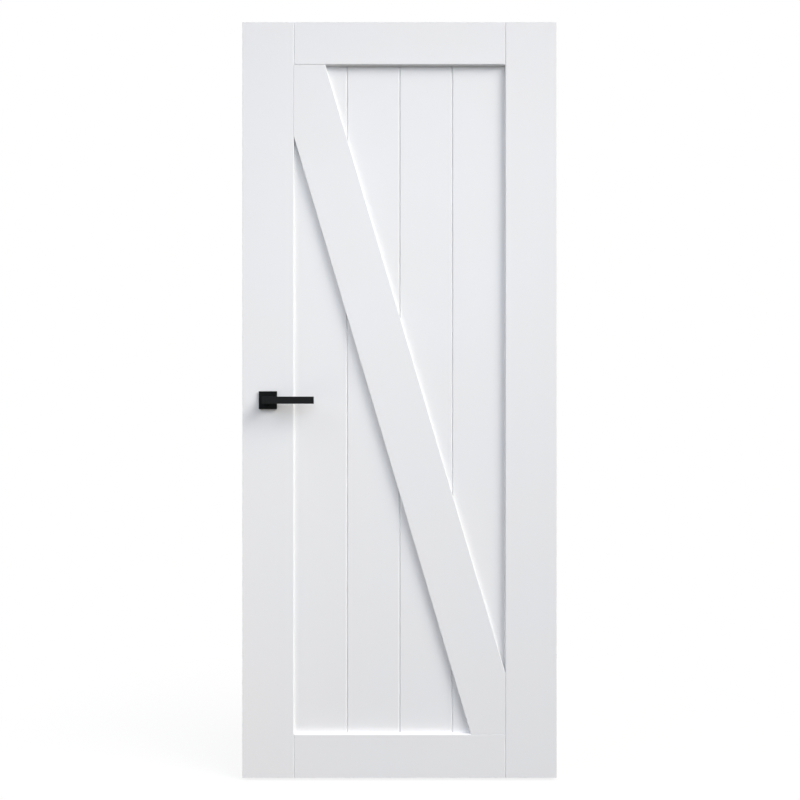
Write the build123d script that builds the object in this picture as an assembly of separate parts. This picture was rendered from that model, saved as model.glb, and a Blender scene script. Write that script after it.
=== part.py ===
from build123d import *
import math
import os

# Interior door leaf with a framed board panel, a diagonal brace on each face,
# a mortise latch and a lever handle on square roses. All sizes in millimetres.
# Origin: foot of the hinge edge, mid thickness. +Z up, the leaf lies along -X,
# its front face looks towards -Y.

# Leaf
leaf_width = 880.0
leaf_height = 2115.0
leaf_thickness = 40.0
stile_width = 144.0
top_rail_height = 119.0
bottom_rail_height = 122.0
seam_chamfer = 2.0
outer_edge_round = 1.5

# Tongued boards in the ploughed frame
board_count = 4
board_thickness = 12.0
plough_depth = 12.0
board_expansion_gap = 1.0
board_chamfer = 3.0
tongue_length = 5.0
tongue_thickness = 4.0
tongue_side_clearance = 0.1
tongue_end_clearance = 0.5

# Diagonal brace, measured along the rails from the corner it starts in
brace_width = 142.0
brace_head_reach = 88.0
brace_foot_reach = 97.0
brace_chamfer = 1.5

# Handle position: distance from the lock edge and height above the foot
handle_backset = 72.0
handle_height = 1057.0

# Rose
rose_size = 50.0
rose_depth = 8.0
rose_wall = 1.2
rose_edge_round = 1.0
rose_plate_thickness = 5.0
rose_plate_clearance = 0.2

# Lever
lever_section = 20.0
lever_projection = 50.0
lever_bar_thickness = 10.0
lever_reach = 132.0
lever_edge_round = 1.4
lever_elbow_round = 4.0
journal_radius = 9.0
journal_clearance = 0.05
cover_hole_clearance = 0.4
neck_gap = 0.5

# Spindle and the grub screw that grips it
spindle_square = 8.0
spindle_engagement = 21.0
spindle_side_clearance = 0.05
spindle_end_clearance = 1.0
grub_hole_radius = 2.5
grub_hole_setback = 8.0

# Bolts that clamp the two roses together through the latch case
bolt_spacing = 38.0
bolt_shank_radius = 2.5
bolt_head_radius = 3.4
bolt_head_thickness = 2.0
bolt_clearance = 0.3

# Mortise latch
forend_width = 20.0
forend_length = 235.0
forend_thickness = 3.0
forend_drop = 36.0
forend_fit = 0.1
forend_screw_inset = 9.0
forend_screw_radius = 2.2
forend_countersink_radius = 4.4
case_depth = 100.0
case_height = 165.0
case_thickness = 14.0
case_wall = 1.5
case_pocket_clearance = 1.0
latch_height = 33.0
latch_thickness = 11.0
latch_length = 40.0
latch_fit = 0.3
latch_edge_chamfer = 1.0
follower_radius = 10.0
follower_clearance = 0.05
follower_collar_radius = 13.0
follower_side_clearance = 0.3
spindle_bore_radius = 11.0

# Worked-out places
front_y = -leaf_thickness / 2
opening_left = -leaf_width + stile_width
opening_right = -stile_width
opening_width = opening_right - opening_left
opening_foot = bottom_rail_height
opening_head = leaf_height - top_rail_height
board_pitch = opening_width / board_count
handle_x = -leaf_width + handle_backset
forend_z = handle_height - forend_drop


def box_between(x0, x1, y0, y1, z0, z1):
    """Box given by its lowest and highest corner."""
    centre = Pos((x0 + x1) / 2, (y0 + y1) / 2, (z0 + z1) / 2)
    return centre * Box(x1 - x0, y1 - y0, z1 - z0)


def rod_along_y(radius, y0, y1, x=0.0, z=0.0):
    """Round rod or bore along Y."""
    return Pos(x, (y0 + y1) / 2, z) * Rot(90, 0, 0) * Cylinder(radius, y1 - y0)


def at_handle(piece):
    """Move a piece modelled about the spindle to the handle's place."""
    return Pos(handle_x, 0, handle_height) * piece


# Frame


def stile():
    """Stile with its outer edge on x = 0, ploughed along the inner edge."""
    section = Pos(-stile_width / 2, 0) * Rectangle(stile_width, leaf_thickness)
    section = fillet(section.vertices().group_by(Axis.X)[-1], outer_edge_round)
    section = chamfer(section.vertices().group_by(Axis.X)[0], seam_chamfer)
    plough_x = -stile_width + plough_depth / 2
    plough = Pos(plough_x, 0) * Rectangle(plough_depth, board_thickness)
    return extrude(section - plough, leaf_height)


def latch_mortise():
    """Everything cut out of the lock stile for the latch and the handle."""
    seat = Plane.YZ * SlotOverall(
        forend_length + 2 * forend_fit, forend_width + 2 * forend_fit, rotation=90
    )
    seat = Pos(-leaf_width, 0, forend_z) * extrude(seat, forend_thickness)
    half_thickness = case_thickness / 2 + case_pocket_clearance
    half_height = case_height / 2 + case_pocket_clearance
    pocket = box_between(
        -leaf_width,
        -leaf_width + forend_thickness + case_depth + case_pocket_clearance,
        -half_thickness,
        half_thickness,
        forend_z - half_height,
        forend_z + half_height,
    )
    bores = rod_along_y(spindle_bore_radius, front_y, -front_y)
    for side in (-1, 1):
        bolt_x = side * bolt_spacing / 2
        bores += rod_along_y(bolt_shank_radius + bolt_clearance, front_y, -front_y, bolt_x)
    return seat + pocket + at_handle(bores)


def lock_stile():
    blank = Pos(-leaf_width, 0, 0) * mirror(stile(), Plane.YZ)
    return blank - latch_mortise()


def rail(height):
    """Rail with its inner edge on z = 0, ploughed, chamfered and tenoned."""
    section = Pos(0, height / 2) * Rectangle(leaf_thickness, height)
    section = chamfer(section.vertices().group_by(Axis.Y)[0], seam_chamfer)
    section -= Pos(0, plough_depth / 2) * Rectangle(board_thickness, plough_depth)
    body = extrude(Plane.YZ * section, opening_width / 2, both=True)
    shoulders = body.edges().filter_by(Axis.Z).group_by(lambda edge: abs(edge.center().Y))[-1]
    body = chamfer(shoulders, seam_chamfer)
    for side in (-1, 1):
        shoulder = side * opening_width / 2
        tenon_end = shoulder + side * plough_depth
        body += box_between(
            min(shoulder, tenon_end),
            max(shoulder, tenon_end),
            -board_thickness / 2,
            board_thickness / 2,
            plough_depth,
            height,
        )
    return body


def top_rail():
    centre_x = (opening_left + opening_right) / 2
    return Pos(centre_x, 0, opening_head) * rail(top_rail_height)


def bottom_rail():
    centre_x = (opening_left + opening_right) / 2
    return Pos(centre_x, 0, opening_foot) * Rot(180, 0, 0) * rail(bottom_rail_height)


# Boards


def board(index):
    """One board: tongue towards the hinge edge, groove towards the lock edge."""
    first = index == 0
    last = index == board_count - 1
    left = opening_left + index * board_pitch
    right = left + board_pitch
    seat = plough_depth - board_expansion_gap
    section_left = left - seat if first else left
    section_right = right + seat if last else right
    width = section_right - section_left
    centre_x = (section_left + section_right) / 2
    section = Pos(centre_x, 0) * Rectangle(width, board_thickness)
    if not last:
        section = chamfer(section.vertices().group_by(Axis.X)[-1], board_chamfer)
        tongue_x = right + tongue_length / 2
        section += Pos(tongue_x, 0) * Rectangle(tongue_length, tongue_thickness)
    if not first:
        section = chamfer(section.vertices().group_by(Axis.X)[0], board_chamfer)
        groove_depth = tongue_length + tongue_end_clearance
        groove_width = tongue_thickness + 2 * tongue_side_clearance
        section -= Pos(left + groove_depth / 2, 0) * Rectangle(groove_depth, groove_width)
    foot = opening_foot - plough_depth
    head = opening_head + plough_depth - board_expansion_gap
    return Pos(0, 0, foot) * extrude(section, head - foot)


# Braces


def front_brace():
    """Diagonal strip scribed into the two corners, flush with the frame."""
    height = opening_head - opening_foot
    run = opening_width - brace_head_reach - brace_foot_reach
    lean = math.atan2(run, height) + math.asin(brace_width / math.hypot(run, height))
    upper_edge_drop = (opening_width - brace_head_reach) / math.tan(lean)
    lower_edge_rise = (opening_width - brace_foot_reach) / math.tan(lean)
    outline = Polyline(
        (opening_left, opening_head),
        (opening_left + brace_head_reach, opening_head),
        (opening_right, opening_head - upper_edge_drop),
        (opening_right, opening_foot),
        (opening_right - brace_foot_reach, opening_foot),
        (opening_left, opening_foot + lower_edge_rise),
        close=True,
    )
    brace = Pos(0, -board_thickness / 2, 0) * extrude(
        Plane.XZ * make_face(outline), (leaf_thickness - board_thickness) / 2
    )
    face = brace.faces().sort_by(Axis.Y)[0]
    return chamfer(face.edges().sort_by(Edge.length)[-2:], brace_chamfer)


# Handle, modelled about the spindle axis for the front face


def rose_plate():
    """Bearing plate under the rose, with sunk seats for the bolt heads."""
    half = rose_size / 2 - rose_wall - rose_plate_clearance
    outer_y = front_y - rose_plate_thickness
    plate = box_between(-half, half, outer_y, front_y, -half, half)
    plate -= rod_along_y(journal_radius + journal_clearance, outer_y, front_y)
    for side in (-1, 1):
        bolt_x = side * bolt_spacing / 2
        plate -= rod_along_y(bolt_shank_radius + bolt_clearance, outer_y, front_y, bolt_x)
        seat_y = outer_y + bolt_head_thickness
        plate -= rod_along_y(bolt_head_radius + bolt_clearance, outer_y, seat_y, bolt_x)
    return plate


def rose_cover():
    """Square cap pressed over the bearing plate."""
    half = rose_size / 2
    outer_y = front_y - rose_depth
    cap = box_between(-half, half, outer_y, front_y, -half, half)
    cap = fillet(cap.edges().filter_by(Axis.Y), rose_edge_round)
    cap = fillet(cap.faces().sort_by(Axis.Y)[0].edges(), rose_edge_round)
    inner = half - rose_wall
    cap -= box_between(-inner, inner, outer_y + rose_wall, front_y, -inner, inner)
    return cap - rod_along_y(journal_radius + cover_hole_clearance, outer_y, front_y)


def lever():
    """Square neck and flat bar in one piece, with the journal that turns in the plate."""
    half = lever_section / 2
    neck_y = front_y - rose_depth - neck_gap
    face_y = front_y - lever_projection
    bar_back_y = face_y + lever_bar_thickness
    plan = Polyline(
        (-half, neck_y),
        (-half, face_y),
        (lever_reach, face_y),
        (lever_reach, bar_back_y),
        (half, bar_back_y),
        (half, neck_y),
        close=True,
    )
    plan = make_face(plan)
    elbow = plan.vertices().sort_by_distance((half, bar_back_y, 0))[0]
    plan = fillet(elbow, lever_elbow_round)
    grip = extrude(plan, half, both=True)
    shoulder = grip.faces().sort_by(Axis.Y)[-1]
    grip = fillet(grip.edges() - shoulder.edges(), lever_edge_round)
    grip += rod_along_y(journal_radius, neck_y, front_y)
    socket_half = spindle_square / 2 + spindle_side_clearance
    socket_end = neck_y - spindle_engagement - spindle_end_clearance
    grip -= box_between(
        -socket_half, socket_half, socket_end, front_y, -socket_half, socket_half
    )
    grub_hole = Pos(0, neck_y - grub_hole_setback, -half / 2) * Cylinder(grub_hole_radius, half)
    return grip - grub_hole


def spindle():
    half_length = -front_y + rose_depth + neck_gap + spindle_engagement
    half = spindle_square / 2
    return box_between(-half, half, -half_length, half_length, -half, half)


def rose_bolt(side):
    """Bolt and sleeve nut, one head sunk in each rose plate."""
    bolt_x = side * bolt_spacing / 2
    head_y = -front_y + rose_plate_thickness
    bolt = rod_along_y(bolt_shank_radius, -head_y, head_y, bolt_x)
    for end in (-1, 1):
        outer = end * head_y
        inner = end * (head_y - bolt_head_thickness)
        bolt += rod_along_y(bolt_head_radius, min(outer, inner), max(outer, inner), bolt_x)
    return bolt


# Mortise latch


def lock_forend():
    """Face plate let into the lock edge, with the latch aperture and two screw holes."""
    plate = extrude(Plane.YZ * SlotOverall(forend_length, forend_width, rotation=90), forend_thickness)
    for end in (-1, 1):
        screw_z = end * (forend_length / 2 - forend_screw_inset)
        sink_depth = forend_countersink_radius - forend_screw_radius
        shank = Cylinder(forend_screw_radius, 2 * forend_thickness)
        sink = Pos(0, 0, sink_depth / 2) * Cone(
            forend_countersink_radius, forend_screw_radius, sink_depth
        )
        plate -= Pos(0, 0, screw_z) * Rot(0, 90, 0) * (shank + sink)
    aperture = latch_height / 2 + latch_fit
    plate -= box_between(
        0,
        forend_thickness,
        -latch_thickness / 2 - latch_fit,
        latch_thickness / 2 + latch_fit,
        forend_drop - aperture,
        forend_drop + aperture,
    )
    return Pos(-leaf_width, 0, forend_z) * plate


def lock_case():
    """Sheet case, open towards the forend, bored for the follower and the bolts."""
    half = case_thickness / 2
    front_x = -leaf_width + forend_thickness
    case = box_between(
        front_x, front_x + case_depth, -half, half, forend_z - case_height / 2, forend_z + case_height / 2
    )
    case -= box_between(
        front_x,
        front_x + case_depth - case_wall,
        case_wall - half,
        half - case_wall,
        forend_z - case_height / 2 + case_wall,
        forend_z + case_height / 2 - case_wall,
    )
    bores = rod_along_y(follower_radius + follower_clearance, -half, half)
    for side in (-1, 1):
        bolt_x = side * bolt_spacing / 2
        bores += rod_along_y(bolt_shank_radius + bolt_clearance, -half, half, bolt_x)
    return case - at_handle(bores)


def latch_bolt():
    """Latch whose nose stands flush with the forend."""
    bolt = box_between(
        -leaf_width,
        -leaf_width + latch_length,
        -latch_thickness / 2,
        latch_thickness / 2,
        handle_height - latch_height / 2,
        handle_height + latch_height / 2,
    )
    nose = bolt.faces().sort_by(Axis.X)[0]
    return chamfer(nose.edges(), latch_edge_chamfer)


def lock_follower():
    """Hub that the spindle turns, with a collar trapped between the case walls."""
    half = case_thickness / 2
    collar_half = half - case_wall - follower_side_clearance
    hub = rod_along_y(follower_radius, -half, half)
    hub += rod_along_y(follower_collar_radius, -collar_half, collar_half)
    socket = spindle_square / 2 + spindle_side_clearance
    return hub - box_between(-socket, socket, -half, half, -socket, socket)


# Every node by name

nodes = {
    "lock_stile": lock_stile(),
    "hinge_stile": stile(),
    "top_rail": top_rail(),
    "bottom_rail": bottom_rail(),
    "front_brace": front_brace(),
    "back_brace": mirror(front_brace(), Plane.XZ),
    "front_rose_plate": at_handle(rose_plate()),
    "back_rose_plate": at_handle(mirror(rose_plate(), Plane.XZ)),
    "front_rose_cover": at_handle(rose_cover()),
    "back_rose_cover": at_handle(mirror(rose_cover(), Plane.XZ)),
    "front_lever": at_handle(lever()),
    "back_lever": at_handle(mirror(lever(), Plane.XZ)),
    "spindle": at_handle(spindle()),
    "rose_bolt_lock_side": at_handle(rose_bolt(-1)),
    "rose_bolt_hinge_side": at_handle(rose_bolt(1)),
    "lock_forend": lock_forend(),
    "lock_case": lock_case(),
    "latch_bolt": latch_bolt(),
    "lock_follower": at_handle(lock_follower()),
}
for index in range(board_count):
    nodes[f"board_{index + 1}"] = board(index)

os.makedirs("parts", exist_ok=True)
for name, solid in nodes.items():
    export_step(solid, f"parts/{name}.step")
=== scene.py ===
"""Finish and studio for a painted interior door leaf with black lever handles.

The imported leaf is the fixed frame. Each sub-assembly of the door is a class that
dresses its own nodes and builds the small pieces that go with it, each finish is
a frozen dataclass that makes one procedural material, and a studio class holds
the floor, the lamps and the camera. All lengths are metres in the leaf's frame:
+Z up, the leaf along -X from its hinge edge, the front face towards -Y.
"""

import logging
import math
from dataclasses import dataclass, field
from enum import Enum
from typing import Union

import bpy
import numpy as np
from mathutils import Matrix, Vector


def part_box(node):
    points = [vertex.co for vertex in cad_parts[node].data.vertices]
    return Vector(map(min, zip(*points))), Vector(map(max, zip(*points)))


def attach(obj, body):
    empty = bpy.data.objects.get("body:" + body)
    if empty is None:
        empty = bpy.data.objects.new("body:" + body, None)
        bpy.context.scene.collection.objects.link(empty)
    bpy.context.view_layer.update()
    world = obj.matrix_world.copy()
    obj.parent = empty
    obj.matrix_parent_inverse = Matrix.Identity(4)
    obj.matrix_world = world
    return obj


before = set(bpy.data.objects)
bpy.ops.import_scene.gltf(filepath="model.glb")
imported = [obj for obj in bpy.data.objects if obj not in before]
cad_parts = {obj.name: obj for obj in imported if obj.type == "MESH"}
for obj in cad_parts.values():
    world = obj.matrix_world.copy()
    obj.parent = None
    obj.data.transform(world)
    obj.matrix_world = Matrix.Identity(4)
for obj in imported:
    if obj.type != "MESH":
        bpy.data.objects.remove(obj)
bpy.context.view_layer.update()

log = logging.getLogger("door")

Colour = tuple[float, float, float]
Socket = bpy.types.NodeSocket
Setting = Union[Socket, float, tuple]

MILLIMETRE = 0.001
WHITE: Colour = (1.0, 1.0, 1.0)


class Body(Enum):
    """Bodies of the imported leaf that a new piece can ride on."""

    LEAF = "leaf"
    LEVER_SET = "lever_set"


class Slot(Enum):
    """Material slots of the record, named as the finishes of the new pieces."""

    PLATED = "plated_steel"
    FOREND = "brushed_forend"


class Face(Enum):
    """Face of the leaf, as the sign of the Y that it looks towards."""

    FRONT = -1.0
    BACK = 1.0


class Run(Enum):
    """Way a member runs: the turn about Y, in degrees, that stands it upright."""

    UPRIGHT = 0.0
    LEVEL = 90.0
    LEANING = 16.5


class Drive(Enum):
    """Recess that a screw is turned by."""

    CROSS = "cross"
    HEXAGON = "hexagon"


def opaque(colour: Colour) -> tuple[float, float, float, float]:
    """Give a colour an alpha of 1."""
    return (*colour, 1.0)


class Graph:
    """A node tree with short calls for adding and joining nodes."""

    def __init__(self, tree: bpy.types.NodeTree) -> None:
        """Keep the tree of a material, a world or a node group."""
        self.tree = tree

    def add(
        self, kind: str, inputs: dict[str | int, Setting] | None = None, **settings: object
    ) -> bpy.types.Node:
        """Add a node.

        Args:
            kind: Blender's type name of the node.
            inputs: Value or source socket for each input, by its name or place.
            settings: Properties of the node itself.

        Returns:
            The new node.
        """
        node = self.tree.nodes.new(kind)
        for name, value in settings.items():
            setattr(node, name, value)
        for name, value in (inputs or {}).items():
            self.feed(node.inputs[name], value)
        return node

    def feed(self, socket: Socket, value: Setting) -> None:
        """Join a source socket to an input, or set the input's own value.

        Args:
            socket: Input to feed.
            value: Source socket, or the value to set.
        """
        if isinstance(value, bpy.types.NodeSocket):
            self.tree.links.new(value, socket)
        else:
            socket.default_value = value

    def math(self, operation: str, first: Setting, second: Setting) -> Socket:
        """Work out one operation on two values and return the result."""
        return self.add("ShaderNodeMath", {0: first, 1: second}, operation=operation).outputs["Value"]

    def blend(self, mask: Socket, low: Colour, high: Colour) -> Socket:
        """Mix two colours by a mask.

        Args:
            mask: Mask from 0 to 1.
            low: Colour where the mask is 0.
            high: Colour where the mask is 1.

        Returns:
            The mixed colour.
        """
        node = self.add("ShaderNodeMix", {0: mask}, data_type="RGBA")
        colours = [socket for socket in node.inputs if socket.type == "RGBA"]
        self.feed(colours[0], opaque(low))
        self.feed(colours[1], opaque(high))
        return next(socket for socket in node.outputs if socket.type == "RGBA")

    def stretch(self, mask: Socket, low: float, high: float) -> Socket:
        """Map a mask from 0 to 1 onto the range from low to high."""
        node = self.add("ShaderNodeMapRange", {"Value": mask, "To Min": low, "To Max": high})
        return node.outputs["Result"]

    def widen(self, mask: Socket, low: float, high: float) -> Socket:
        """Map the part of a mask from low to high onto 0 to 1."""
        node = self.add("ShaderNodeMapRange", {"Value": mask, "From Min": low, "From Max": high})
        return node.outputs["Result"]

    def bump(self, height: Socket, depth: float, strength: float) -> Socket:
        """Turn the height over a surface into a normal.

        Args:
            height: Height at each point.
            depth: Size of a height of 1, in metres.
            strength: Share of the bump that is used.

        Returns:
            The bent normal.
        """
        node = self.add("ShaderNodeBump", {"Height": height, "Distance": depth, "Strength": strength})
        return node.outputs["Normal"]


@dataclass(frozen=True)
class Noise:
    """Character of a noise, and how many times longer than wide its marks are along Z."""

    detail: float
    roughness: float
    length: float = 1.0

    def mask(self, graph: Graph, place: Socket, scale: Socket) -> Socket:
        """Add the noise to a graph.

        Its marks are drawn out by dividing Z of the point by their length.

        Args:
            graph: Graph that it goes into.
            place: Point that it is read at.
            scale: Marks in a metre.

        Returns:
            The noise as a mask.
        """
        if self.length > 1.0:
            drawn_out = {"Vector": place, "Scale": (1.0, 1.0, 1.0 / self.length)}
            place = graph.add("ShaderNodeMapping", drawn_out).outputs["Vector"]
        node = graph.add(
            "ShaderNodeTexNoise",
            {"Vector": place, "Scale": scale, "Detail": self.detail, "Roughness": self.roughness},
        )
        return node.outputs["Fac"]


STIPPLE = Noise(detail=2.0, roughness=0.45)
STREAK = Noise(detail=3.0, roughness=0.6, length=50.0)
CLOUD = Noise(detail=4.0, roughness=0.55)
BRUSH_LINES = Noise(detail=3.0, roughness=0.7, length=100.0)
BRUSH_CLOUD = Noise(detail=3.0, roughness=0.5)

# Part of each noise that is widened to a full mask
CLOUD_RANGE = (0.3, 0.7)
FLECK_RANGE = (0.35, 0.65)


def new_group(
    name: str, inputs: dict[str, float | None], outputs: list[str]
) -> tuple[Graph, dict[str, Socket], bpy.types.Node]:
    """Start a shader node group with named sockets.

    Args:
        name: Name of the group.
        inputs: Default of each float input, or None for a vector input.
        outputs: Names of the float outputs.

    Returns:
        The group's graph, its input sockets by name and its output node.
    """
    tree = bpy.data.node_groups.new(name, "ShaderNodeTree")
    for socket_name, default in inputs.items():
        kind = "NodeSocketVector" if default is None else "NodeSocketFloat"
        socket = tree.interface.new_socket(socket_name, in_out="INPUT", socket_type=kind)
        if default is not None:
            socket.default_value = default
    for socket_name in outputs:
        tree.interface.new_socket(socket_name, in_out="OUTPUT", socket_type="NodeSocketFloat")
    graph = Graph(tree)
    source = graph.add("NodeGroupInput")
    sink = graph.add("NodeGroupOutput")
    return graph, {socket_name: source.outputs[socket_name] for socket_name in inputs}, sink


def film_group() -> bpy.types.NodeTree:
    """Make the group for a sprayed or rolled coat.

    Height is a fine round stipple plus a weaker streak that is drawn out along Z
    of the given place. Cloud is a slow mask for tone and gloss, and Fleck is the
    stipple spread to its full range, for grains of another tone.

    Returns:
        The group's tree.
    """
    graph, given, sink = new_group(
        "coat_film",
        {
            "Place": None,
            "Stipple Scale": 700.0,
            "Streak Scale": 260.0,
            "Streak Share": 0.3,
            "Cloud Scale": 3.0,
        },
        ["Height", "Cloud", "Fleck"],
    )
    stipple = STIPPLE.mask(graph, given["Place"], given["Stipple Scale"])
    streak = STREAK.mask(graph, given["Place"], given["Streak Scale"])
    cloud = CLOUD.mask(graph, given["Place"], given["Cloud Scale"])
    weak_streak = graph.math("MULTIPLY", streak, given["Streak Share"])
    graph.feed(sink.inputs["Height"], graph.math("ADD", stipple, weak_streak))
    graph.feed(sink.inputs["Cloud"], graph.widen(cloud, *CLOUD_RANGE))
    graph.feed(sink.inputs["Fleck"], graph.widen(stipple, *FLECK_RANGE))
    return graph.tree


def brushed_group() -> bpy.types.NodeTree:
    """Make the group for metal brushed along Z.

    Lines is noise drawn out far along Z, for height and gloss alike, and Cloud is a
    slow mask for tone.

    Returns:
        The group's tree.
    """
    graph, given, sink = new_group(
        "brushed_lines", {"Place": None, "Line Scale": 3000.0, "Cloud Scale": 40.0}, ["Lines", "Cloud"]
    )
    graph.feed(sink.inputs["Lines"], BRUSH_LINES.mask(graph, given["Place"], given["Line Scale"]))
    graph.feed(sink.inputs["Cloud"], BRUSH_CLOUD.mask(graph, given["Place"], given["Cloud Scale"]))
    return graph.tree


def empty_material(name: str) -> tuple[bpy.types.Material, Graph]:
    """Start a material without nodes.

    Args:
        name: Name of the material.

    Returns:
        The material and its graph.
    """
    material = bpy.data.materials.new(name)
    material.use_nodes = True
    material.node_tree.nodes.clear()
    return material, Graph(material.node_tree)


def surface_material(name: str) -> tuple[bpy.types.Material, Graph, bpy.types.Node]:
    """Start a material with one Principled shader.

    Args:
        name: Name of the material.

    Returns:
        The material, its graph and its shader node.
    """
    material, graph = empty_material(name)
    shader = graph.add("ShaderNodeBsdfPrincipled")
    graph.add("ShaderNodeOutputMaterial", {"Surface": shader.outputs["BSDF"]})
    return material, graph, shader


@dataclass(frozen=True)
class Lacquer:
    """Satin white lacquer, rolled along the member it covers."""

    groups: dict[str, bpy.types.NodeTree]
    run: Run
    cool: Colour = (0.802, 0.806, 0.820)
    warm: Colour = (0.810, 0.806, 0.809)
    roughness_low: float = 0.34
    roughness_high: float = 0.44
    peel_scale: float = 320.0
    film_depth: float = 0.09 * MILLIMETRE
    bump_strength: float = 1.0

    def build(self) -> bpy.types.Material:
        """Make the material.

        The point is turned so that the member stands upright, and so the film's
        streaks run along it. The film's cloud sets tone and gloss, its height the bump.

        Returns:
            The material, named for the way its member runs.
        """
        material, graph, shader = surface_material(f"white_lacquer_{self.run.name.lower()}")
        place = graph.add("ShaderNodeTexCoord").outputs["Object"]
        turn = (0.0, math.radians(self.run.value), 0.0)
        upright = graph.add("ShaderNodeMapping", {"Vector": place, "Rotation": turn}).outputs["Vector"]
        film = graph.add(
            "ShaderNodeGroup",
            {"Place": upright, "Stipple Scale": self.peel_scale},
            node_tree=self.groups["film"],
        ).outputs
        roughness = graph.stretch(film["Cloud"], self.roughness_low, self.roughness_high)
        normal = graph.bump(film["Height"], self.film_depth, self.bump_strength)
        graph.feed(shader.inputs["Base Color"], graph.blend(film["Cloud"], self.cool, self.warm))
        graph.feed(shader.inputs["Roughness"], roughness)
        graph.feed(shader.inputs["Normal"], normal)
        return material


@dataclass(frozen=True)
class GrainedBlack:
    """Matt black with a fine sandy grain: powder coat, or the plastic of a bearing plate."""

    groups: dict[str, bpy.types.NodeTree]
    name: str = "black_powder_coat"
    dark: Colour = (0.0024, 0.0028, 0.0031)
    pale: Colour = (0.0070, 0.0075, 0.0079)
    roughness_low: float = 0.46
    roughness_high: float = 0.58
    cloud_scale: float = 60.0
    grain_scale: float = 1800.0
    grain_depth: float = 0.10 * MILLIMETRE
    bump_strength: float = 0.6
    specular: float = 0.115

    def build(self) -> bpy.types.Material:
        """Make the material.

        The film's fleck sets the tone, its cloud the gloss and its height the bump.

        Returns:
            The material, with grains of a paler tone and no streaks.
        """
        material, graph, shader = surface_material(self.name)
        place = graph.add("ShaderNodeTexCoord").outputs["Object"]
        film = graph.add(
            "ShaderNodeGroup",
            {
                "Place": place,
                "Stipple Scale": self.grain_scale,
                "Streak Share": 0.0,
                "Cloud Scale": self.cloud_scale,
            },
            node_tree=self.groups["film"],
        ).outputs
        roughness = graph.stretch(film["Cloud"], self.roughness_low, self.roughness_high)
        normal = graph.bump(film["Height"], self.grain_depth, self.bump_strength)
        graph.feed(shader.inputs["Base Color"], graph.blend(film["Fleck"], self.dark, self.pale))
        graph.feed(shader.inputs["Roughness"], roughness)
        graph.feed(shader.inputs["Normal"], normal)
        shader.inputs["Specular IOR Level"].default_value = self.specular
        return material


@dataclass(frozen=True)
class Steel:
    """Bare or plated steel, brushed along Z."""

    groups: dict[str, bpy.types.NodeTree]
    name: str
    dark: Colour
    pale: Colour
    roughness_low: float
    roughness_high: float
    line_scale: float
    line_depth: float = 0.01 * MILLIMETRE
    bump_strength: float = 0.4

    def build(self) -> bpy.types.Material:
        """Make the material.

        The cloud sets the tone, and the brush lines the gloss and the bump.

        Returns:
            The material.
        """
        material, graph, shader = surface_material(self.name)
        place = graph.add("ShaderNodeTexCoord").outputs["Object"]
        brushed = graph.add(
            "ShaderNodeGroup",
            {"Place": place, "Line Scale": self.line_scale},
            node_tree=self.groups["brushed"],
        ).outputs
        roughness = graph.stretch(brushed["Lines"], self.roughness_low, self.roughness_high)
        normal = graph.bump(brushed["Lines"], self.line_depth, self.bump_strength)
        graph.feed(shader.inputs["Base Color"], graph.blend(brushed["Cloud"], self.dark, self.pale))
        graph.feed(shader.inputs["Roughness"], roughness)
        graph.feed(shader.inputs["Normal"], normal)
        shader.inputs["Metallic"].default_value = 1.0
        return material


def dress(nodes: list[str], material: bpy.types.Material) -> None:
    """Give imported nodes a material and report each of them.

    Args:
        nodes: Names of the nodes.
        material: Their finish.
    """
    for name in nodes:
        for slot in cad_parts[name].material_slots:
            slot.material = material
        log.info("dressed %s in %s", name, material.name)


@dataclass
class JoineryLeaf:
    """Stiles, rails, boards and braces of the painted leaf."""

    groups: dict[str, bpy.types.NodeTree]
    members: dict[Run, list[str]] = field(
        default_factory=lambda: {
            Run.UPRIGHT: ["lock_stile", "hinge_stile", "board_1", "board_2", "board_3", "board_4"],
            Run.LEVEL: ["top_rail", "bottom_rail"],
            Run.LEANING: ["front_brace", "back_brace"],
        }
    )

    def build(self) -> None:
        """Dress each member in lacquer that runs along it."""
        for run, names in self.members.items():
            dress(names, Lacquer(self.groups, run).build())


@dataclass(frozen=True)
class ScrewSizes:
    """Sizes of one kind of screw and of the recess that it is turned by.

    The recess reaches from the middle of the face to the ends of a cross's arms, or
    to the flats of a hexagon. Sunk is how far the face lies under the surface. The
    two shares are of the reach: half the width of an arm, and the width of the slope
    inside the outline.
    """

    drive: Drive
    head_radius: float
    cone_depth: float
    shank_radius: float
    length: float
    recess_reach: float
    recess_depth: float
    sunk: float
    arm_share: float = 0.22
    ramp_share: float = 0.12


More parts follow.
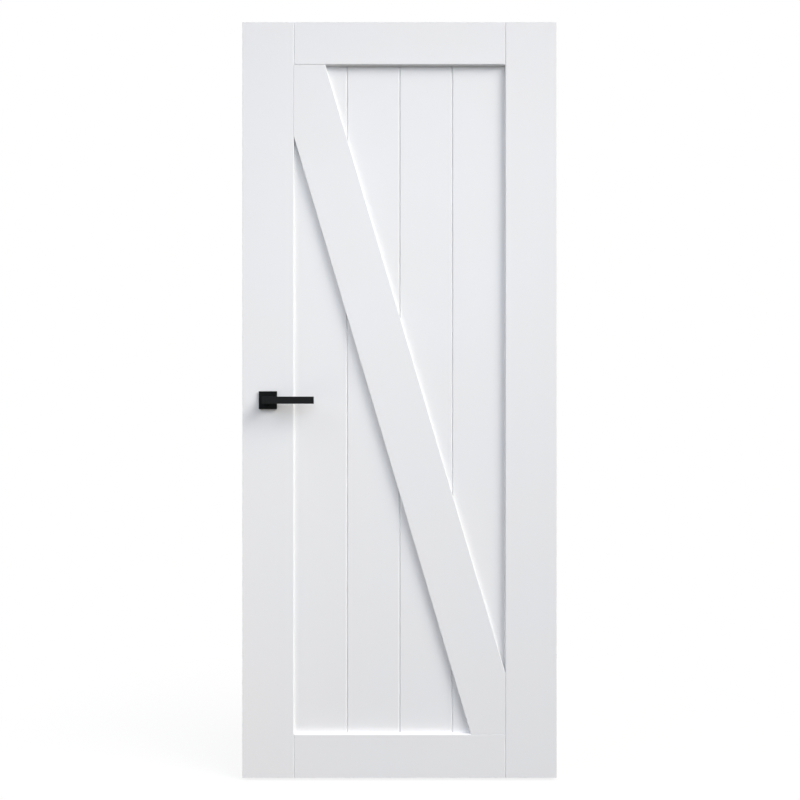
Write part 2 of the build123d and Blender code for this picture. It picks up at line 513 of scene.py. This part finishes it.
@dataclass
class SunkScrew:
    """A screw whose face lies just under the surface it is driven into.

    The surface is a ring of points at each of a row of radii: across the face from
    the middle to the rim, down the cone to the shank, and along the shank to its
    end. On the face the recess adds to the depth, by a smooth step of the distance
    inside its outline.
    """

    name: str
    sizes: ScrewSizes
    segments: int = 96
    face_rings: int = 25

    def recess(self, across: np.ndarray, along: np.ndarray) -> np.ndarray:
        """Work out the depth of the recess at points of the face.

        A cross is two bars, a hexagon the space between three pairs of flats. The
        depth is 3 r squared less 2 r cubed of the full depth, where r runs from 0 at
        the outline to 1 a short way inside it.

        Args:
            across: First coordinate in the face.
            along: Second coordinate in the face.

        Returns:
            Depth at each point, 0 outside the recess.
        """
        reach = self.sizes.recess_reach
        if self.sizes.drive is Drive.CROSS:
            arm = reach * self.sizes.arm_share
            level = np.maximum(np.abs(across) - reach, np.abs(along) - arm)
            upright = np.maximum(np.abs(along) - reach, np.abs(across) - arm)
            inside = -np.minimum(level, upright)
        else:
            turns = np.radians([0.0, 60.0, 120.0])
            flats = [np.abs(across * math.cos(turn) + along * math.sin(turn)) for turn in turns]
            inside = reach - np.max(flats, axis=0)
        ramp = np.clip(inside / (self.sizes.ramp_share * reach), 0.0, 1.0)
        return self.sizes.recess_depth * ramp * ramp * (3.0 - 2.0 * ramp)

    def points(self, centre: Vector, facing: Vector) -> np.ndarray:
        """Work out the screw's points.

        Args:
            centre: Middle of its face, on the surface it is driven into.
            facing: Direction its face looks in.

        Returns:
            The rings' points from the middle of the face to the end of the shank,
            then the middle of the face and the middle of the end.
        """
        sizes = self.sizes
        head = self.face_rings
        face_radii = np.linspace(0.0, sizes.head_radius, head + 1)[1:]
        radii = np.concatenate([face_radii, [sizes.shank_radius, sizes.shank_radius]])
        depths = np.concatenate([np.zeros(head), [sizes.cone_depth, sizes.length]])
        angles = np.linspace(0.0, 2.0 * math.pi, self.segments, endpoint=False)
        across = radii[:, None] * np.cos(angles)
        along = radii[:, None] * np.sin(angles)
        depth = np.repeat(depths[:, None], self.segments, axis=1)
        depth[:head] += self.recess(across[:head], along[:head])
        middle = float(self.recess(np.zeros(1), np.zeros(1))[0])
        rings = np.stack([across.ravel(), along.ravel(), depth.ravel()], axis=1)
        poles = [[0.0, 0.0, middle], [0.0, 0.0, sizes.length]]
        side = facing.orthogonal().normalized()
        up = facing.cross(side)
        into = -facing
        base = np.array(centre + into * sizes.sunk)
        return base + np.concatenate([rings, poles]) @ np.array([side, up, into])

    def build(
        self, centre: Vector, facing: Vector, body: Body, slot: Slot, material: bpy.types.Material
    ) -> None:
        """Make the screw.

        Args:
            centre: Middle of its face, on the surface it is driven into.
            facing: Direction its face looks in.
            body: Body it rides on.
            slot: Not used.
            material: Its finish.
        """
        piece = tube_object(self.name, self.points(centre, facing), self.segments)
        piece.data.materials.append(material)
        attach(piece, body.value)
        log.info("built %s on %s", self.name, body.value)


def tube_object(name: str, points: np.ndarray, segments: int) -> bpy.types.Object:
    """Make a closed object from rings of points and two poles.

    Each quad joins a step of one ring to the same step of the next ring and to the
    step that follows it on both. A fan from each pole closes the end ring beside it.

    Args:
        name: Name of the object.
        points: All points, ring by ring, then the first ring's pole and the last's.
        segments: Points in each ring.

    Returns:
        The object, linked to the scene with smooth faces that point outwards.
    """
    poles = 2
    rings = (len(points) - poles) // segments
    step = np.arange(segments)
    following = (step + 1) % segments
    start = (np.arange(rings - 1) * segments)[:, None]
    quads = np.stack(
        [start + step, start + segments + step, start + segments + following, start + following], axis=2
    ).reshape(-1, 4)
    first_pole = rings * segments
    last = (rings - 1) * segments
    opening = np.stack([np.full(segments, first_pole), step, following], axis=1)
    closing = np.stack([np.full(segments, first_pole + 1), last + following, last + step], axis=1)
    mesh = bpy.data.meshes.new(name)
    mesh.from_pydata(points.tolist(), [], quads.tolist() + opening.tolist() + closing.tolist())
    mesh.update()
    mesh.shade_smooth()
    piece = bpy.data.objects.new(name, mesh)
    bpy.context.scene.collection.objects.link(piece)
    return piece


@dataclass
class LeverHandle:
    """Roses, levers, spindle and the bolts and grub screws that hold them.

    The roses' coat is a darker, less glossy copy of the levers' powder coat: painted shade on the roses,
    which have the same finish as the levers.
    """

    coat: bpy.types.Material
    rose_painted_shade_coat: bpy.types.Material
    plastic: bpy.types.Material
    plated: bpy.types.Material
    rose_gap: float = 0.5 * MILLIMETRE
    grub_setback: float = 8.0 * MILLIMETRE
    grub: ScrewSizes = ScrewSizes(
        drive=Drive.HEXAGON,
        head_radius=2.42 * MILLIMETRE,
        cone_depth=0.3 * MILLIMETRE,
        shank_radius=2.44 * MILLIMETRE,
        length=5.0 * MILLIMETRE,
        recess_reach=1.25 * MILLIMETRE,
        recess_depth=1.6 * MILLIMETRE,
        sunk=0.8 * MILLIMETRE,
    )

    def build(self) -> None:
        """Dress the nodes and add the grub screw under each lever's neck."""
        dress(["front_lever", "back_lever"], self.coat)
        # The roses take the darker copy of the levers' coat: painted shade.
        dress(["front_rose_cover", "back_rose_cover"], self.rose_painted_shade_coat)
        dress(["front_rose_plate", "back_rose_plate"], self.plastic)
        dress(["spindle", "rose_bolt_lock_side", "rose_bolt_hinge_side"], self.plated)
        for face in Face:
            self.grub_screw(face)

    def grub_screw(self, face: Face) -> None:
        """Set a hexagon socket screw in the hole under the neck of one lever.

        The hole is half-way across the rose, and off the rose's outer face by the gap
        to the neck plus the setback along the neck.

        Args:
            face: Face of the leaf that the lever is on.
        """
        side = face.name.lower()
        lever_low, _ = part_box(f"{side}_lever")
        rose_low, rose_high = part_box(f"{side}_rose_cover")
        rose_outside = rose_low.y if face is Face.FRONT else rose_high.y
        centre = Vector((
            (rose_low.x + rose_high.x) / 2,
            rose_outside + face.value * (self.rose_gap + self.grub_setback),
            lever_low.z,
        ))
        downwards = Vector((0.0, 0.0, -1.0))
        screw = SunkScrew(f"{side}_grub_screw", self.grub)
        screw.build(centre, downwards, Body.LEVER_SET, Slot.PLATED, self.plated)


@dataclass
class MortiseLatch:
    """Forend, latch and case let into the lock edge."""

    brushed: bpy.types.Material
    plated: bpy.types.Material
    screw_inset: float = 9.0 * MILLIMETRE
    screw: ScrewSizes = ScrewSizes(
        drive=Drive.CROSS,
        head_radius=4.1 * MILLIMETRE,
        cone_depth=2.1 * MILLIMETRE,
        shank_radius=2.0 * MILLIMETRE,
        length=25.0 * MILLIMETRE,
        recess_reach=2.3 * MILLIMETRE,
        recess_depth=1.5 * MILLIMETRE,
        sunk=0.15 * MILLIMETRE,
    )

    def build(self) -> None:
        """Dress the nodes and drive a countersunk screw into each end of the forend.

        A screw is half-way across the forend, at the inset from its end.
        """
        dress(["lock_forend", "latch_bolt"], self.brushed)
        dress(["lock_case", "lock_follower"], self.plated)
        low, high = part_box("lock_forend")
        heights = {"lower": low.z + self.screw_inset, "upper": high.z - self.screw_inset}
        out_of_the_edge = Vector((-1.0, 0.0, 0.0))
        for end, height in heights.items():
            centre = Vector((low.x, (low.y + high.y) / 2, height))
            screw = SunkScrew(f"{end}_forend_screw", self.screw)
            screw.build(centre, out_of_the_edge, Body.LEAF, Slot.FOREND, self.brushed)


@dataclass(frozen=True)
class Lamp:
    """One square soft light, placed by its direction from the middle of a face.

    Azimuth is the turn from the face's normal, to the right for someone who looks at
    the face, and elevation the angle above it, both in degrees. The power in watts is
    the level times the square of the distance in metres, so a lamp moved away keeps
    the light that it throws on the leaf. A lamp without sheen lights a surface but
    isn't seen in its gloss.
    """

    name: str
    azimuth: float
    elevation: float
    distance: float
    size: float
    level: float
    colour: Colour
    spread: float = 180.0
    aim_drop: float = 0.0
    sheen: bool = True

    def build(self, middle: Vector, face: Face) -> None:
        """Make the light, unseen by the camera.

        Args:
            middle: Middle of the face that it lights.
            face: Face of the leaf that it lights.
        """
        turn = math.radians(self.azimuth)
        rise = math.radians(self.elevation)
        direction = Vector((
            -face.value * math.sin(turn) * math.cos(rise),
            face.value * math.cos(turn) * math.cos(rise),
            math.sin(rise),
        ))
        data = bpy.data.lights.new(self.name, "AREA")
        data.shape = "SQUARE"
        data.size = self.size
        data.energy = self.level * self.distance**2
        data.color = self.colour
        data.spread = math.radians(self.spread)
        lamp = bpy.data.objects.new(self.name, data)
        lamp.location = middle + direction * self.distance
        aim = middle - Vector((0.0, 0.0, self.aim_drop)) - lamp.location
        lamp.rotation_euler = aim.to_track_quat("-Z", "Y").to_euler()
        lamp.visible_camera = False
        lamp.visible_glossy = self.sheen
        bpy.context.scene.collection.objects.link(lamp)
        log.info("lamp %s of %.0f W", self.name, data.energy)


FRONT_RIG = (
    Lamp(
        "broad_right",
        azimuth=45.0, elevation=30.0, distance=30.0, size=22.0, level=7.20,
        colour=(0.938, 0.952, 1.0),
    ),
    Lamp(
        "high_right",
        azimuth=60.0, elevation=40.0, distance=16.0, size=6.7, level=5.60,
        colour=(1.0, 0.924, 0.803),
    ),
    Lamp(
        "high_left",
        azimuth=-60.0, elevation=40.0, distance=12.0, size=8.5, level=3.91,
        colour=(0.858, 0.886, 1.0),
    ),
    Lamp(
        "front",
        azimuth=0.0, elevation=20.0, distance=4.0, size=2.0, level=0.54,
        colour=(0.834, 0.934, 1.0), spread=80.0, aim_drop=0.45,
    ),
    Lamp(
        "low_left",
        azimuth=-60.0, elevation=-20.0, distance=2.2, size=1.2, level=1.38,
        colour=(1.0, 0.861, 0.712), sheen=False,
    ),
)
BACK_RIG = (
    Lamp(
        "broad_back",
        azimuth=12.0, elevation=16.0, distance=12.0, size=4.5, level=7.4,
        colour=(0.955, 0.965, 1.0), sheen=False,
    ),
    Lamp(
        "fill_back",
        azimuth=-45.0, elevation=10.0, distance=12.0, size=4.0, level=2.4,
        colour=(1.0, 0.97, 0.93), sheen=False,
    ),
)


@dataclass
class Studio:
    """White room: floor, world, lamps and the camera of the photograph."""

    floor_drop: float = 8.0 * MILLIMETRE
    floor_half: float = 6.0
    seen_floor: Colour = (0.90, 0.90, 0.90)
    lighting_floor: Colour = (0.12, 0.12, 0.12)
    shadow_share: float = 0.16
    shadow_core: float = 0.4
    shadow_reach: float = 1.4
    fill_level: float = 0.012
    fill_colour: Colour = (0.96, 0.98, 1.0)
    lens: float = 40.0
    sensor: float = 36.0
    picture_px: float = 800.0
    leaf_height_px: float = 755.6
    leaf_middle_px: tuple[float, float] = (399.6, 400.0)
    front_rig: tuple[Lamp, ...] = FRONT_RIG
    back_rig: tuple[Lamp, ...] = BACK_RIG

    def build(self) -> None:
        """Build everything round the leaf."""
        bpy.context.scene.view_settings.view_transform = "Standard"
        self.camera()
        self.world()
        self.floor()
        self.lamps()

    def leaf_middle(self) -> Vector:
        """Find the middle of the leaf's front face.

        Returns:
            The middle, from the outer edges of the two stiles.
        """
        low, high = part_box("hinge_stile")
        lock_low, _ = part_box("lock_stile")
        return Vector(((lock_low.x + high.x) / 2, low.y, (low.z + high.z) / 2))

    def camera(self) -> None:
        """Face the leaf squarely, far enough for it to fill the picture as in the photograph.

        The distance is the picture's width at the leaf, times the lens over the sensor.
        """
        low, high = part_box("hinge_stile")
        metres_per_px = (high.z - low.z) / self.leaf_height_px
        distance = self.lens / self.sensor * self.picture_px * metres_per_px
        middle = self.leaf_middle()
        half_px = self.picture_px / 2
        data = bpy.data.cameras.new("camera")
        data.lens = self.lens
        data.sensor_width = self.sensor
        eye = bpy.data.objects.new("camera", data)
        eye.location = (
            middle.x + (half_px - self.leaf_middle_px[0]) * metres_per_px,
            middle.y - distance,
            middle.z + (self.leaf_middle_px[1] - half_px) * metres_per_px,
        )
        eye.rotation_euler = (math.radians(90.0), 0.0, 0.0)
        bpy.context.scene.collection.objects.link(eye)
        bpy.context.scene.camera = eye

    def seen_plainly(self, graph: Graph) -> Socket:
        """Tell the rays that see a surface from those that only carry its light.

        Args:
            graph: Graph that the mask is added to.

        Returns:
            Mask that is 1 for camera, glossy and transmission rays.
        """
        path = graph.add("ShaderNodeLightPath").outputs
        sharp = graph.math("MAXIMUM", path["Is Glossy Ray"], path["Is Transmission Ray"])
        return graph.math("MAXIMUM", path["Is Camera Ray"], sharp)

    def world(self) -> None:
        """Make the world white to the eye and to reflections, a soft fill to everything else."""
        world = bpy.data.worlds.new("studio")
        world.use_nodes = True
        world.node_tree.nodes.clear()
        graph = Graph(world.node_tree)
        fill = graph.add(
            "ShaderNodeBackground", {"Color": opaque(self.fill_colour), "Strength": self.fill_level}
        )
        white = graph.add("ShaderNodeBackground", {"Color": opaque(WHITE), "Strength": 1.0})
        mix = graph.add(
            "ShaderNodeMixShader",
            {0: self.seen_plainly(graph), 1: fill.outputs["Background"], 2: white.outputs["Background"]},
        )
        graph.add("ShaderNodeOutputWorld", {"Surface": mix.outputs["Shader"]})
        bpy.context.scene.world = world

    def floor(self) -> None:
        """Lay a pale floor just under the leaf, white to the eye but for the leaf's soft shadow.

        Its corners lie half a floor from the middle of the leaf, each way along X and Y.
        """
        middle = self.leaf_middle()
        reach = np.array([-self.floor_half, self.floor_half])
        x, y = np.meshgrid(reach + middle.x, reach, indexing="ij")
        points = np.stack([x.ravel(), y.ravel(), np.full(x.size, -self.floor_drop)], axis=1)
        mesh = bpy.data.meshes.new("floor")
        mesh.from_pydata(points.tolist(), [], [[0, 2, 3, 1]])
        floor = bpy.data.objects.new("floor", mesh)
        bpy.context.scene.collection.objects.link(floor)
        mesh.materials.append(self.floor_material(middle))

    def floor_material(self, middle: Vector) -> bpy.types.Material:
        """Make a matt floor whose seen colour is mostly plain white.

        A share of the matt floor shows near the leaf, and with it the leaf's shadow.
        That share fades to none between the core and the reach of the shadow.

        Args:
            middle: Middle of the leaf's front face.

        Returns:
            The material.
        """
        material, graph = empty_material("studio_floor")
        seen = graph.add("ShaderNodeLightPath").outputs["Is Camera Ray"]
        colour = graph.blend(seen, self.lighting_floor, self.seen_floor)
        matt = graph.add("ShaderNodeBsdfDiffuse", {"Color": colour})
        white = graph.add("ShaderNodeEmission", {"Color": opaque(WHITE), "Strength": 1.0})
        place = graph.add("ShaderNodeTexCoord").outputs["Object"]
        foot = (middle.x, 0.0, -self.floor_drop)
        away = graph.add("ShaderNodeVectorMath", {0: place, 1: foot}, operation="DISTANCE")
        near = graph.add(
            "ShaderNodeMapRange",
            {
                "Value": away.outputs["Value"],
                "From Min": self.shadow_core,
                "From Max": self.shadow_reach,
                "To Min": self.shadow_share,
                "To Max": 0.0,
            },
        ).outputs["Result"]
        plain = graph.math("SUBTRACT", 1.0, near)
        whiteness = graph.math("MULTIPLY", plain, self.seen_plainly(graph))
        mix = graph.add(
            "ShaderNodeMixShader", {0: whiteness, 1: matt.outputs["BSDF"], 2: white.outputs["Emission"]}
        )
        graph.add("ShaderNodeOutputMaterial", {"Surface": mix.outputs["Shader"]})
        return material

    def lamps(self) -> None:
        """Light the front face as in the photograph, and the back face more plainly."""
        front = self.leaf_middle()
        back = Vector((front.x, -front.y, front.z))
        for lamp in self.front_rig:
            lamp.build(front, Face.FRONT)
        for lamp in self.back_rig:
            lamp.build(back, Face.BACK)


def main() -> None:
    """Build the finishes, the sub-assemblies and the studio in order."""
    logging.basicConfig(level=logging.INFO, format="%(name)s: %(message)s")
    groups = {"film": film_group(), "brushed": brushed_group()}
    coat = GrainedBlack(groups).build()
    # Darker, less glossy copy of the levers' powder coat: painted shade on the roses.
    rose_painted_shade_coat = GrainedBlack(
        groups,
        name="black_rose_painted_shade_coat",
        dark=(0.0020, 0.0024, 0.0026),
        pale=(0.0050, 0.0058, 0.0062),
        specular=0.07,
    ).build()
    plastic = GrainedBlack(
        groups,
        name="bearing_plastic",
        dark=(0.016, 0.016, 0.017),
        pale=(0.022, 0.022, 0.023),
        grain_scale=1500.0,
    ).build()
    plated = Steel(
        groups,
        name="plated_steel",
        dark=(0.52, 0.52, 0.50),
        pale=(0.60, 0.60, 0.58),
        roughness_low=0.30,
        roughness_high=0.42,
        line_scale=900.0,
    ).build()
    brushed = Steel(
        groups,
        name="brushed_forend",
        dark=(0.57, 0.565, 0.55),
        pale=(0.65, 0.645, 0.63),
        roughness_low=0.24,
        roughness_high=0.40,
        line_scale=3000.0,
    ).build()
    JoineryLeaf(groups).build()
    LeverHandle(coat, rose_painted_shade_coat, plastic, plated).build()
    MortiseLatch(brushed, plated).build()
    Studio().build()


if __name__ == "__main__":
    main()
